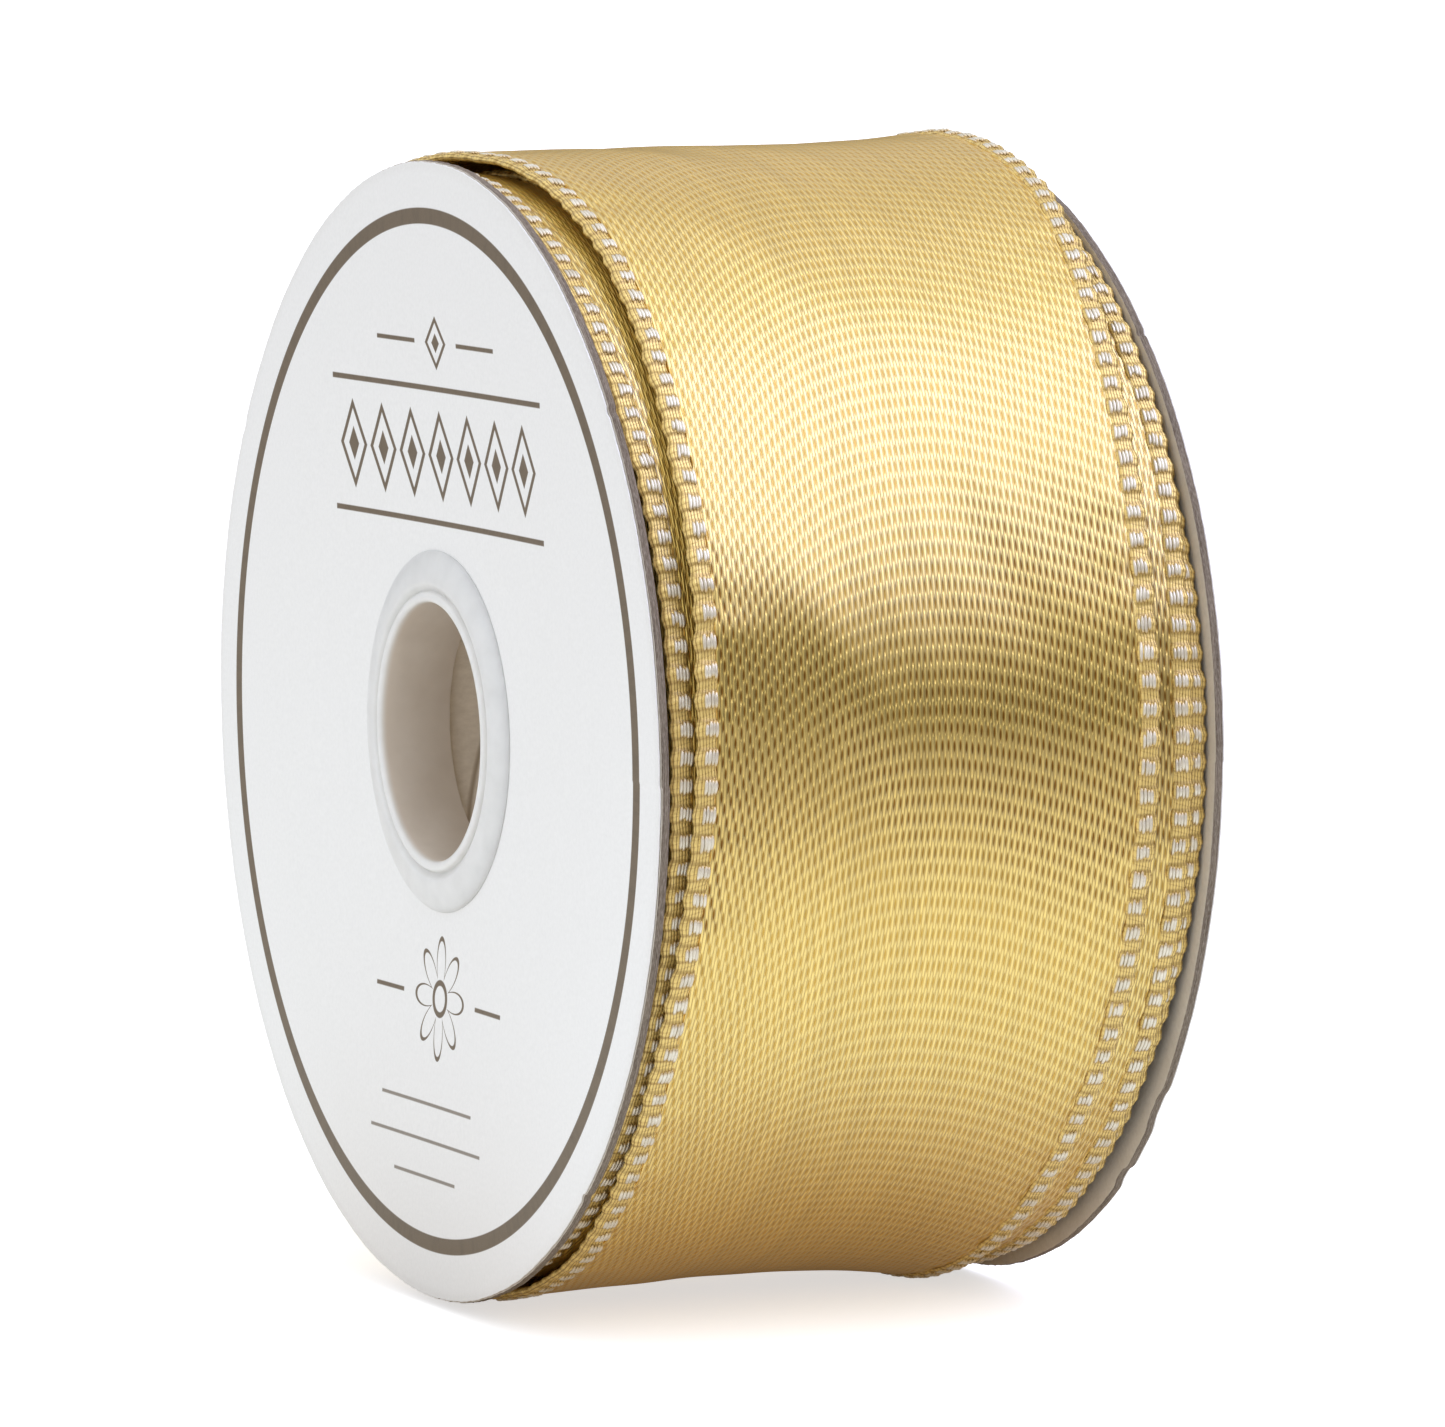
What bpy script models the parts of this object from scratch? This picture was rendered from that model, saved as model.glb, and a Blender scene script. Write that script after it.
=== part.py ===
"""Ribbon spool: two round board flanges on a paperboard core tube, held by two
flanged plastic bushes, wound with satin ribbon that has a wired edge on each side.

Metres, +Z up. The spool's axis is the world Y axis and the origin is the middle
of the spool on that axis, so the spool stands on its round edge. The front
flange faces -Y. Angles around the axis run from +X towards +Z.
"""

import math

import bmesh
import bpy

MM = 0.001

# ------------------------------------------ dimensions, mm; angles in degrees
# Flanges: each a grey board with a paper label on its outer face
FLANGE_R = 43.35
FACE_Y = 22.82                  # half the overall width, at the label's outer face
LABEL_R = 43.20
LABEL_T = 0.12
BOARD_T = 0.65
PLY_GAP = 0.05                  # left between stacked sheets
DISH = 0.92                     # how far a flange's hub end sits in from its rim
DISH_R0, DISH_R1 = 14.6, 34.0   # the flange slopes between these radii
HOLE_R = 10.85                  # hole through board and label
FLANGE_STEPS = 48

# Bushes
BORE_R = 9.80
SLEEVE_R = 10.55
SLEEVE_DEPTH = 5.92             # from the lip to the sleeve's inner end
COLLAR_R = 13.80
COLLAR_T = 0.80
COLLAR_UNDERCUT = 0.10          # the collar's back edge is this much smaller
DOME_CENTRE_R = 11.45           # where the collar's rounding is centred
DOME_BASE = 0.14                # height at which the rounding is centred
DOME_START, DOME_END = 4, 90
DOME_SEGS = 5
GROOVE = [(10.95, -0.06), (10.72, -0.26)]              # radius, from the collar's top
LIP = [(10.50, -0.06), (10.20, 0.0), (9.92, -0.08)]    # radius, from FACE_Y
BORE_TOP = -0.30                # where the straight bore starts, from FACE_Y
BUSH_STEPS = 28

# Core tube and the bulk of the windings
CORE_R0, CORE_R1 = 10.95, 12.30
CORE_HALF = 21.00
ROLL_R0, ROLL_R1 = 12.60, 39.95
ROLL_WAIST = 0.45               # how much slimmer the roll is at mid width
ROLL_RIM = 0.98                 # half width of its round face, over the ribbon's
ROLL_WANDER = 0.25              # how far its ends stray from flat
ROLL_END_RADII = [33.5, 27.0, 20.0]
CORE_STEPS = 36

# Ribbon section
RIBBON_W = 38.10                # nominal 1 1/2 inch ribbon
HALF_W = RIBBON_W / 2
SATIN_T = 0.28
EDGE_W = 1.72                   # width of the woven wired edge
EDGE_H = 0.26                   # half height of the fold, to the middle of its cloth
EDGE_T = 0.14                   # cloth of the fold
EDGE_BEND = 0.42                # the fold tapers from here to the ribbon's edge
EDGE_GAP = 0.08                 # left between the satin and the fold's mouth
WIRE_R = 0.12
WIRE_IN = 0.66                  # wire centre, in from the ribbon's outer edge

# Outer turn: runs from START to END, then the free end goes on to TIP
START, END, TIP = 180.0, 505.0, 555.0
ROOT_GAP = 0.55                 # left between the outer turn and the free end
OUTER_SEGS, TAIL_SEGS = 36, 7
OUTER_EDGE_R = (43.02, 44.07)   # middle of the folded edges: front, rear
OUTER_STATIONS = (-1.0, -0.68, -0.34, 0.0, 0.34, 0.68, 1.0)
OUTER_WIRE_DETAIL = 1
WANDER_MEAN, WANDER_AMP, WANDER_PHASE = -0.20, 2.40, -30.0
LIFT = 0.82                     # rise of the free end over the start of the turn
LIFT_LEAD, LIFT_SPAN = 22.0, 18.0   # rise starts this early, lasts this long
HINGE_OVER = 0.05               # lifting axis, above the ribbon's outer surface
HINGE_SHARE = 0.4               # its place within ROOT_GAP

# Turns below the outer one
UNDER_SEGS = 24
UNDER_START, UNDER_SWEEP = 250.0, 356.0
UNDER_STATIONS = (-1.0, -0.4, 0.4, 1.0)
FLARE_FROM, FLARE_WIDTH, FLARE_RISE = 14.0, 3.2, 0.62   # fourth turn's rear side

# Tapes
TAPE_T = 0.08
END_TAPE_BEFORE, END_TAPE_AFTER = 8.0, 12.0   # reach on either side of TIP
END_TAPE_ROWS = [-9.0, -3.0, 3.0, 9.0]
END_TAPE_OVER = 0.16            # middle of the tape over the satin
STEP_AFTER, STEP_SPAN = 0.4, 3.5              # step down beyond TIP
CORE_TAPE_START, CORE_TAPE_END = 20.0, 80.0
CORE_TAPE_ROWS = [-15.0, 15.0]
CORE_TAPE_OVER = 0.14           # middle of the tape over the core

for ob in list(bpy.data.objects):
    bpy.data.objects.remove(ob, do_unlink=True)

spool = bpy.data.collections.new("ribbon_spool")
bpy.context.scene.collection.children.link(spool)


# ---------------------------------------------------------------- materials
def material(name, color, roughness, metallic=0.0):
    mat = bpy.data.materials.new(name)
    mat.use_nodes = True
    shader = mat.node_tree.nodes["Principled BSDF"]
    shader.inputs["Base Color"].default_value = (*color, 1.0)
    shader.inputs["Roughness"].default_value = roughness
    shader.inputs["Metallic"].default_value = metallic
    mat.diffuse_color = (*color, 1.0)
    return mat


PAPER = material("white_label_paper", color=(0.80, 0.80, 0.81), roughness=0.55)
BOARD = material("grey_board", color=(0.36, 0.32, 0.26), roughness=0.90)
KRAFT = material("paperboard_tube", color=(0.42, 0.36, 0.29), roughness=0.90)
PLASTIC = material("milky_plastic", color=(0.86, 0.87, 0.88), roughness=0.35)
GOLD = material("gold_satin", color=(0.72, 0.52, 0.19), roughness=0.38, metallic=0.85)
EDGE = material("gold_cream_edge", color=(0.78, 0.69, 0.50), roughness=0.55, metallic=0.2)
WIRE = material("edge_wire", color=(0.55, 0.53, 0.50), roughness=0.35, metallic=1.0)
TAPE = material("clear_tape", color=(0.85, 0.86, 0.86), roughness=0.15)


def add_object(name, data, mat):
    ob = bpy.data.objects.new(name, data)
    spool.objects.link(ob)
    ob.data.materials.append(mat)
    return ob


# ---------------------------------------------------------------- turned pieces
def turned(name, profile, steps, mat, facing=1):
    """A closed profile of (radius, axial) points turned about local Z, which
    points along +Y, or along -Y if facing is -1. The profile's outer side is
    listed from top to bottom."""
    mesh = bpy.data.meshes.new(name)
    count = len(profile)
    mesh.from_pydata([(r * MM, 0.0, z * MM) for r, z in profile],
                     [(i, (i + 1) % count) for i in range(count)], [])
    ob = add_object(name, mesh, mat)
    screw = ob.modifiers.new("turn", "SCREW")
    screw.axis = "Z"
    screw.steps = screw.render_steps = steps
    screw.use_merge_vertices = True
    screw.merge_threshold = 0.00001
    screw.use_smooth_shade = True
    ob.rotation_euler = (math.radians(-90 * facing), 0.0, 0.0)


def dish(radius):
    """How far the flange stands in from its rim plane."""
    slope = (DISH_R1 - radius) / (DISH_R1 - DISH_R0)
    return DISH * min(1.0, max(0.0, slope))


def sheet_profile(outer_r, top, thick):
    """A dished sheet; top is its outer face at the rim, from mid spool."""
    radii = [outer_r, DISH_R1, DISH_R0, HOLE_R]
    low = [(r, top - thick - dish(r)) for r in radii]
    high = [(r, top - dish(r)) for r in reversed(radii)]
    return low + high


def bush_profile():
    """Domed collar, a groove, a raised lip round the bore and a sleeve."""
    back = FACE_Y - DISH + PLY_GAP
    sleeve_end = FACE_Y - SLEEVE_DEPTH
    loop = [(COLLAR_R - COLLAR_UNDERCUT, back)]
    for i in range(DOME_SEGS + 1):
        angle = math.radians(DOME_START + (DOME_END - DOME_START) * i / DOME_SEGS)
        loop.append((DOME_CENTRE_R + (COLLAR_R - DOME_CENTRE_R) * math.cos(angle),
                     back + DOME_BASE + (COLLAR_T - DOME_BASE) * math.sin(angle)))
    loop += [(r, back + COLLAR_T + z) for r, z in GROOVE]
    loop += [(r, FACE_Y + z) for r, z in LIP]
    loop += [(BORE_R, FACE_Y + BORE_TOP), (BORE_R, sleeve_end),
             (SLEEVE_R, sleeve_end), (SLEEVE_R, back)]
    # the outer side was built bottom to top
    return loop[::-1]


def roll_profile():
    """The bulk of the windings, waisted, with ends that wander a little."""
    waist = [(ROLL_R1 - ROLL_WAIST * (1 - t ** 2), -HALF_W * ROLL_RIM * t)
             for t in (-1.0, -0.5, 0.0, 0.5, 1.0)]
    low = [(r, -HALF_W - ROLL_WANDER * math.sin(r)) for r in ROLL_END_RADII]
    high = [(r, HALF_W + ROLL_WANDER * math.cos(r)) for r in reversed(ROLL_END_RADII)]
    return waist + low + [(ROLL_R0, -HALF_W), (ROLL_R0, HALF_W)] + high


board_profile = sheet_profile(FLANGE_R, FACE_Y - LABEL_T - PLY_GAP, BOARD_T)
label_profile = sheet_profile(LABEL_R, FACE_Y, LABEL_T)
for side, facing in (("front", -1), ("rear", 1)):
    turned(side + "_flange_board", board_profile, FLANGE_STEPS, BOARD, facing)
    turned(side + "_label", label_profile, FLANGE_STEPS, PAPER, facing)
    turned(side + "_bush", bush_profile(), BUSH_STEPS, PLASTIC, facing)

turned("core_tube", [(CORE_R1, CORE_HALF), (CORE_R1, -CORE_HALF),
                     (CORE_R0, -CORE_HALF), (CORE_R0, CORE_HALF)], CORE_STEPS, KRAFT)
turned("inner_windings", roll_profile(), CORE_STEPS, GOLD)


# ---------------------------------------------------------------- ribbon parts
def point(theta, radius, y):
    angle = math.radians(theta)
    return (radius * math.cos(angle) * MM, y * MM, radius * math.sin(angle) * MM)


def strip(name, segs, start, end, rows, place, thick, offset, mat):
    """An open strip that follows the turn, thickened into a solid. rows are the
    stations across it and place(theta, row) gives (radius, axial)."""
    bm = bmesh.new()
    bmesh.ops.create_grid(bm, x_segments=segs, y_segments=len(rows) - 1, size=1.0)
    for vert in bm.verts:
        along = (vert.co.x + 1.0) / 2.0
        row = rows[int(round((vert.co.y + 1.0) / 2.0 * (len(rows) - 1)))]
        theta = start + (end - start) * along
        vert.co = point(theta, *place(theta, row))
    bmesh.ops.reverse_faces(bm, faces=bm.faces[:])
    mesh = bpy.data.meshes.new(name)
    bm.to_mesh(mesh)
    bm.free()
    mesh.shade_smooth()
    mesh.set_sharp_from_angle(angle=math.radians(35))
    ob = add_object(name, mesh, mat)
    cloth = ob.modifiers.new("cloth", "SOLIDIFY")
    cloth.thickness = thick * MM
    cloth.offset = offset
    cloth.use_even_offset = True
    return ob


def wire(name, segs, start, end, place, detail):
    curve = bpy.data.curves.new(name, "CURVE")
    curve.dimensions = "3D"
    curve.bevel_depth = WIRE_R * MM
    curve.bevel_resolution = detail
    curve.use_fill_caps = True
    spline = curve.splines.new("POLY")
    spline.points.add(segs)
    for i in range(segs + 1):
        theta = start + (end - start) * i / segs
        spline.points[i].co = (*point(theta, *place(theta)), 1.0)
    return add_object(name, curve, WIRE)


# The fold's section: distance out from its mouth, height in units of EDGE_H
FOLD = [(0.0, 1.0), (EDGE_W - EDGE_BEND, 1.0), (EDGE_W - EDGE_T / 2, 0.0),
        (EDGE_W - EDGE_BEND, -1.0), (0.0, -1.0)]


def ribbon(prefix, segs, start, end, centre, surface, stations, edge_radii,
           lift=lambda theta: 0.0, wire_detail=0):
    """One stretch of ribbon: satin, and on each side the folded edge and its wire.
    centre(theta) is the ribbon's middle on the axis, surface(y) the satin's outer
    radius across it, edge_radii those of the edges' middles, (front, rear)."""
    satin_half = HALF_W - EDGE_W - EDGE_GAP
    made = [strip(prefix + "_satin", segs, start, end, [satin_half * s for s in stations],
                  lambda theta, y: (surface(y) + lift(theta), centre(theta) + y),
                  SATIN_T, -1.0, GOLD)]
    for side, sign, radius in (("front", -1, edge_radii[0]), ("rear", 1, edge_radii[1])):
        made.append(strip(
            f"{prefix}_{side}_edge", segs, start, end, FOLD,
            lambda theta, fold: (radius + lift(theta) + EDGE_H * fold[1],
                                 centre(theta) + sign * (HALF_W - EDGE_W + fold[0])),
            EDGE_T, 0.0, EDGE))
        made.append(wire(
            f"{prefix}_{side}_wire", segs, start, end,
            lambda theta: (radius + lift(theta), centre(theta) + sign * (HALF_W - WIRE_IN)),
            wire_detail))
    return made


def waisted(y, half, radius, tilt, sag):
    """Satin radius, higher towards the rear by tilt and sagging at mid width."""
    u = y / half
    return radius + tilt * u - sag * (1.0 - u * u)


# ---------------------------------------------------------------- outer turn
def wander(theta):
    return WANDER_MEAN + WANDER_AMP * math.sin(math.radians(theta + WANDER_PHASE))


def outer_surface(y):
    return waisted(y, half=HALF_W, radius=43.62, tilt=0.58, sag=0.46)


def free_end_lift(theta):
    """The free end climbs over the start of its own turn."""
    u = min(1.0, max(0.0, (theta - (START + 360.0 - LIFT_LEAD)) / LIFT_SPAN))
    return LIFT * u * u * (3.0 - 2.0 * u)


def end_tape_place(theta, y):
    """Sticks to the free end, then steps down to the turn below past its tip."""
    u = min(1.0, max(0.0, (theta - (TIP + STEP_AFTER)) / STEP_SPAN))
    radius = outer_surface(y) + free_end_lift(theta) * (1.0 - u) + END_TAPE_OVER
    return radius, wander(theta) + y


outer = ribbon("outer_turn", OUTER_SEGS, START, END, wander, outer_surface,
               OUTER_STATIONS, OUTER_EDGE_R, wire_detail=OUTER_WIRE_DETAIL)
tail = ribbon("free_end", TAIL_SEGS, END + ROOT_GAP, TIP, wander, outer_surface,
              OUTER_STATIONS, OUTER_EDGE_R, free_end_lift, OUTER_WIRE_DETAIL)
tail.append(strip("end_tape", 10, TIP - END_TAPE_BEFORE, TIP + END_TAPE_AFTER,
                  END_TAPE_ROWS, end_tape_place, TAPE_T, 0.0, TAPE))


# ---------------------------------------------------------------- turns below
def second_surface(y):
    return waisted(y, half=19.0, radius=42.32, tilt=0.42, sag=0.10)


def third_surface(y):
    return 41.45


def fourth_surface(y):
    """Level, then flaring up near the rear edge."""
    return 41.00 + max(0.0, (y - FLARE_FROM) / FLARE_WIDTH) * FLARE_RISE


# name, middle on the axis, surface, stations, edge radii (front, rear)
UNDER_TURNS = [
    ("second_turn", 1.35, second_surface, UNDER_STATIONS, (41.90, 42.67)),
    ("third_turn", -1.95, third_surface, UNDER_STATIONS, (41.58, 41.56)),
    ("fourth_turn", 2.75, fourth_surface, (-1.0, -0.4, 0.4, 0.80, 1.0), (40.72, 41.84)),
]
for name, middle, surface, stations, edge_radii in UNDER_TURNS:
    ribbon(name, UNDER_SEGS, UNDER_START, UNDER_START + UNDER_SWEEP,
           lambda theta: middle, surface, stations, edge_radii)

strip("core_tape", 6, CORE_TAPE_START, CORE_TAPE_END, CORE_TAPE_ROWS,
      lambda theta, y: (CORE_R1 + CORE_TAPE_OVER, y), TAPE_T, 0.0, TAPE)

# ---------------------------------------------------------------- moving pieces
# The outer turn unwinds about the spool's axis; the free end lifts at its root.
unwind_axis = bpy.data.objects.new("unwind_axis", None)
spool.objects.link(unwind_axis)
lift_axis = bpy.data.objects.new("free_end_axis", None)
spool.objects.link(lift_axis)
hinge_r = OUTER_EDGE_R[1] + EDGE_H + EDGE_T / 2 + HINGE_OVER
lift_axis.location = point(END + ROOT_GAP * HINGE_SHARE, hinge_r, 0.0)
lift_axis.parent = unwind_axis
for ob in outer:
    ob.parent = unwind_axis
for ob in tail:
    ob.parent = lift_axis
    ob.location = -lift_axis.location
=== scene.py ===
"""Ribbon spool: two board flanges on a paper tube, wound with wired gold ribbon.
The axis is Y with the front at -Y, and Z is up. Angles run from +X to +Z, in degrees.
Lengths are in mm inside the geometry helpers and are written out in metres."""
import math

import bmesh
import bpy
import numpy as np
from mathutils import Matrix, Vector


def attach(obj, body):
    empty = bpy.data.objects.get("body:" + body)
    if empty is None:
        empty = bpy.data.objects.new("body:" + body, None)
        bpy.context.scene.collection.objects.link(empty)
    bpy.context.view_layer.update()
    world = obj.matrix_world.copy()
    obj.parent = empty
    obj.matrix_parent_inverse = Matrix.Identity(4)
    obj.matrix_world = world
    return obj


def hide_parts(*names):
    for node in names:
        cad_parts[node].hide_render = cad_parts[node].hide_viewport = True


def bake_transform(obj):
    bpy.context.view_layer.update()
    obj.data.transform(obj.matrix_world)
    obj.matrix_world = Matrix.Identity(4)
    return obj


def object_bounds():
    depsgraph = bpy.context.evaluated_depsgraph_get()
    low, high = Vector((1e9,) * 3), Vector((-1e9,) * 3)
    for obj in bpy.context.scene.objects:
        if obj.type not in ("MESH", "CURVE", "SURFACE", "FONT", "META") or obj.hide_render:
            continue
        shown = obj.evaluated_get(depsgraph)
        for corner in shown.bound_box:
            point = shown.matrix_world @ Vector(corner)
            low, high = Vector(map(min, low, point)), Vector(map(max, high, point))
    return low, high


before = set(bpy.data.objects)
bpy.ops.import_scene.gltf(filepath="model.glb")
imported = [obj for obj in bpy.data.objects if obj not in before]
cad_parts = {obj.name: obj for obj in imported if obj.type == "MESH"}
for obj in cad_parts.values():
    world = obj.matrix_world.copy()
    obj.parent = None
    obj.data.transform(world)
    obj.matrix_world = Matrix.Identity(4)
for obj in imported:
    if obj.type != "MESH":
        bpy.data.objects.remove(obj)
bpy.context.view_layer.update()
MM = 0.001

# ------------------------------------------------------------------ measures, mm
FACE_Y = 22.82                     # from the middle to the outer face of a flange
LABEL_T, BOARD_T, PLY_GAP = 0.12, 0.65, 0.04
FLANGE_R, LABEL_R, HOLE_R = 43.35, 43.25, 10.85
DISH, DISH_R0, DISH_R1 = 0.92, 14.6, 34.0     # depth of the dish, and the radii it spans
BORE_R, SLEEVE_R, SLEEVE_DEPTH, COLLAR_R = 9.80, 10.55, 5.92, 13.80
CREST_R = 11.35                    # highest ring of the bush collar
BUSH_BACK = FACE_Y - DISH - 0.03
CORE_R0, CORE_R1, CORE_HALF = 10.95, 12.30, 21.0

RIBBON_W = 38.1
EDGE_W, EDGE_B = 1.72, 0.31        # woven edge: width and half thickness
EDGE_HALF = EDGE_W / 2
EDGE_LAP = 0.16                    # satin tucked under each woven edge
EDGE_STEP = 0.13                   # length of one mesh step along the edge
SATIN_T = 0.28
ROLL_W, ROLL_DROP = 0.9, 0.10      # strip of satin that dips beside each edge
WIRE_R = 0.12
PITCH = 2.08                       # cream blocks along the woven edge
RIB = PITCH / 4
ARC_R = 43.4                       # radius at which lengths along the ribbon are counted
OUTER_R, SECOND_R, THIRD_R, FOURTH_R = 43.35, 41.75, 41.25, 40.85

# the outer turn, the end of its fixed part and the tip of the free end, degrees
START, END, TIP = 180.0, 505.0, 555.0
LIFT, LIFT_START, LIFT_SPAN = 0.82, START + 360.0 - 22.0, 18.0


# ------------------------------------------------------------------ mesh helpers
def add_object(name, data):
    ob = bpy.data.objects.new(name, data)
    bpy.context.scene.collection.objects.link(ob)
    return ob


def register(ob, node=None, body=None):
    """Hide the CAD part that a piece stands for, and attach the piece to the body it rides on."""
    if node:
        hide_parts(node)
    if body:
        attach(ob, body)


def signed_volume(verts, faces):
    """Six times the volume under faces[n, corners]; negative if they look inwards."""
    corners = verts[faces]
    return sum(np.einsum("ij,ij->", corners[:, 0], np.cross(corners[:, k], corners[:, k + 1]))
               for k in range(1, faces.shape[1] - 1))


def build(name, verts, face_sets, mat, uv=None, sharp=None):
    """A smooth closed mesh. face_sets are index arrays, uv holds one pair per vertex."""
    if sum(signed_volume(verts, faces) for faces in face_sets) < 0:
        face_sets = [faces[:, ::-1] for faces in face_sets]
    face_list = [face for faces in face_sets for face in faces.tolist()]
    mesh = bpy.data.meshes.new(name)
    mesh.from_pydata((verts * MM).tolist(), [], face_list)
    if uv is not None:
        loops = np.concatenate([faces.ravel() for faces in face_sets])
        layer = mesh.uv_layers.new(name="UVMap")
        layer.data.foreach_set("uv", uv[loops].astype(np.float32).ravel())
    mesh.materials.append(mat)
    mesh.shade_smooth()
    if sharp:
        mesh.set_sharp_from_angle(angle=math.radians(sharp))
    mesh.update()
    return add_object(name, mesh)


def loft(name, points, mat, along=None, over=None, ring=False, sharp=None):
    """points[n, m] is n cross-section loops of m points. ring joins the last to the first;
    otherwise both ends are capped. along and over give each point's UV in mm."""
    n, m, _ = points.shape
    i = np.arange(n if ring else n - 1)[:, None]
    j = np.arange(m)[None, :]
    i2, j2 = (i + 1) % n, (j + 1) % m
    quads = np.stack([i * m + j, i2 * m + j, i2 * m + j2, i * m + j2], -1).reshape(-1, 4)
    face_sets = [quads]
    if not ring:
        face_sets.append(np.array([range(m)[::-1], range((n - 1) * m, n * m)]))
    uv = None if along is None else np.stack([along, over], -1).reshape(-1, 2)
    return build(name, points.reshape(-1, 3), face_sets, mat, uv, sharp)


def at(theta, r, y):
    """Points at theta degrees, radius r and place y, broadcast together."""
    r, y, a = np.broadcast_arrays(r, y, np.radians(theta))
    return np.stack([r * np.cos(a), y, r * np.sin(a)], -1)


def turned(name, profile, mat, n=256, sign=1, sharp=None):
    """A closed (radius, y) profile turned round the axis; sign -1 mirrors it in y."""
    profile = np.array(profile)
    theta = np.linspace(0, 360, n, endpoint=False)[:, None]
    return loft(name, at(theta, profile[:, 0], sign * profile[:, 1]), mat, ring=True, sharp=sharp)


def ease(u):
    return u * u * (3.0 - 2.0 * u)


def knots(pairs):
    """A smooth closed function of angle through (degrees, value) knots."""
    table = np.array(sorted((a % 360.0, value) for a, value in pairs))
    x, y = table[:, 0], table[:, 1]
    xx = np.concatenate([x[-3:] - 360, x, x[:3] + 360])
    yy = np.concatenate([y[-3:], y, y[:3]])
    slope = np.gradient(yy, xx)
    chord = np.diff(yy) / np.diff(xx)
    for k in range(1, len(xx) - 1):   # monotone slopes so that the curve never overshoots
        before, after = chord[k - 1], chord[k]
        slope[k] = 0.0 if before * after <= 0 else 2 * before * after / (before + after)

    def curve(theta):
        t = np.mod(np.asarray(theta, float), 360.0)
        k = np.clip(np.searchsorted(xx, t) - 1, 0, len(xx) - 2)
        h = xx[k + 1] - xx[k]
        u = (t - xx[k]) / h
        return ((1 + 2 * u) * (1 - u) ** 2 * yy[k] + u * (1 - u) ** 2 * h * slope[k]
                + u * u * (3 - 2 * u) * yy[k + 1] + u * u * (u - 1) * h * slope[k + 1])
    return curve


def waves(seed, lengths, heights):
    """A smooth wobble along an arc: a few sines of given wavelengths and heights in mm."""
    rng = np.random.default_rng(seed)
    phases = rng.uniform(0, 2 * np.pi, len(lengths))
    stretch = rng.uniform(0.9, 1.1, len(lengths))

    def wobble(t):
        t = np.asarray(t, float)
        return sum(height * np.sin(2 * np.pi * t / (length * s) + phase)
                   for height, length, s, phase in zip(heights, lengths, stretch, phases))
    return wobble


# ------------------------------------------------------------------ node helpers
class Value:
    """A node's output. + - * / ** and abs() on it make Math nodes."""

    def __init__(self, nodes, socket):
        self.nodes, self.socket = nodes, socket

    def math(self, operation, other=None):
        return self.nodes.get("ShaderNodeMath", (self, other), operation=operation)

    def __abs__(self):
        return self.math("ABSOLUTE")

    def step(self, low, high, start=0.0, end=1.0, kind="SMOOTHSTEP"):
        """Go from start at low to end at high; low may be the larger of the two."""
        return self.nodes.get("ShaderNodeMapRange", (self, low, high, start, end),
                              interpolation_type=kind)

    def lin(self, low, high, start=0.0, end=1.0):
        return self.step(low, high, start, end, "LINEAR")

    def fade(self, first, second, start=0.0, end=1.0, low=0.3, high=0.7):
        """Mix two colours; the share of the second goes from start to end."""
        return self.nodes.mix(self.lin(low, high, start, end), first, second)


def operator(operation, swap=False):
    def apply(self, other):
        pair = (other, self) if swap else (self, other)
        return self.nodes.get("ShaderNodeMath", pair, operation=operation)
    return apply


for word, operation in (("add", "ADD"), ("sub", "SUBTRACT"), ("mul", "MULTIPLY"),
                        ("truediv", "DIVIDE"), ("pow", "POWER")):
    setattr(Value, f"__{word}__", operator(operation))
    setattr(Value, f"__r{word}__", operator(operation, swap=True))


class Nodes:
    def __init__(self, tree):
        self.tree = tree
        tree.nodes.clear()

    def put(self, socket, value):
        """Link a Value, or set a constant."""
        if isinstance(value, Value):
            self.tree.links.new(value.socket, socket)
        elif isinstance(value, tuple) and len(value) == 3 and socket.type == "RGBA":
            socket.default_value = (*value, 1.0)
        else:
            socket.default_value = value

    def add(self, kind, inputs=(), **props):
        """A node; inputs is a tuple in socket order (None skips) or a dict by key."""
        node = self.tree.nodes.new(kind)
        for key, value in props.items():
            setattr(node, key, value)
        for key, value in inputs.items() if isinstance(inputs, dict) else enumerate(inputs):
            if value is not None:
                self.put(node.inputs[key], value)
        return node

    def get(self, kind, inputs=(), output=0, **props):
        """Add a node and return one of its outputs."""
        return Value(self, self.add(kind, inputs, **props).outputs[output])

    def mix(self, share, first, second, mode="MIX"):
        return self.get("ShaderNodeMix", {0: share, 6: first, 7: second}, 2,
                        data_type="RGBA", blend_type=mode)

    def sep(self, vector):
        node = self.add("ShaderNodeSeparateXYZ", (vector,))
        return [Value(self, socket) for socket in node.outputs]

    def comb(self, x, y, z):
        return self.get("ShaderNodeCombineXYZ", (x, y, z))

    def length(self, x, y, z):
        return self.get("ShaderNodeVectorMath", (self.comb(x, y, z),), 1, operation="LENGTH")

    def noise(self, vector, scale, detail=3.0, rough=0.5):
        return self.get("ShaderNodeTexNoise", {"Vector": vector, "Scale": scale,
                                               "Detail": detail, "Roughness": rough})

    def grain(self, x, y, scale_x, scale_y, shift=0.0, detail=3.0, rough=0.5):
        """Noise scaled apart in its two directions."""
        return self.noise(self.comb(x * scale_x, y * scale_y, shift), 1.0, detail, rough)

    def white(self, value):
        return self.get("ShaderNodeTexWhiteNoise", {"W": value}, "Value", noise_dimensions="1D")

    def ramp(self, value, stops):
        """A colour ramp through (position, grey or colour) stops."""
        node = self.add("ShaderNodeValToRGB", (value,))
        node.color_ramp.interpolation = "LINEAR"
        elements = node.color_ramp.elements
        stops = [(place, (*(tone if isinstance(tone, tuple) else (tone,) * 3), 1))
                 for place, tone in stops]
        elements[0].position, elements[0].color = stops[0]
        elements[1].position, elements[1].color = stops[-1]
        for place, colour in stops[1:-1]:
            elements.new(place).color = colour
        return Value(self, node.outputs[0])


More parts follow.
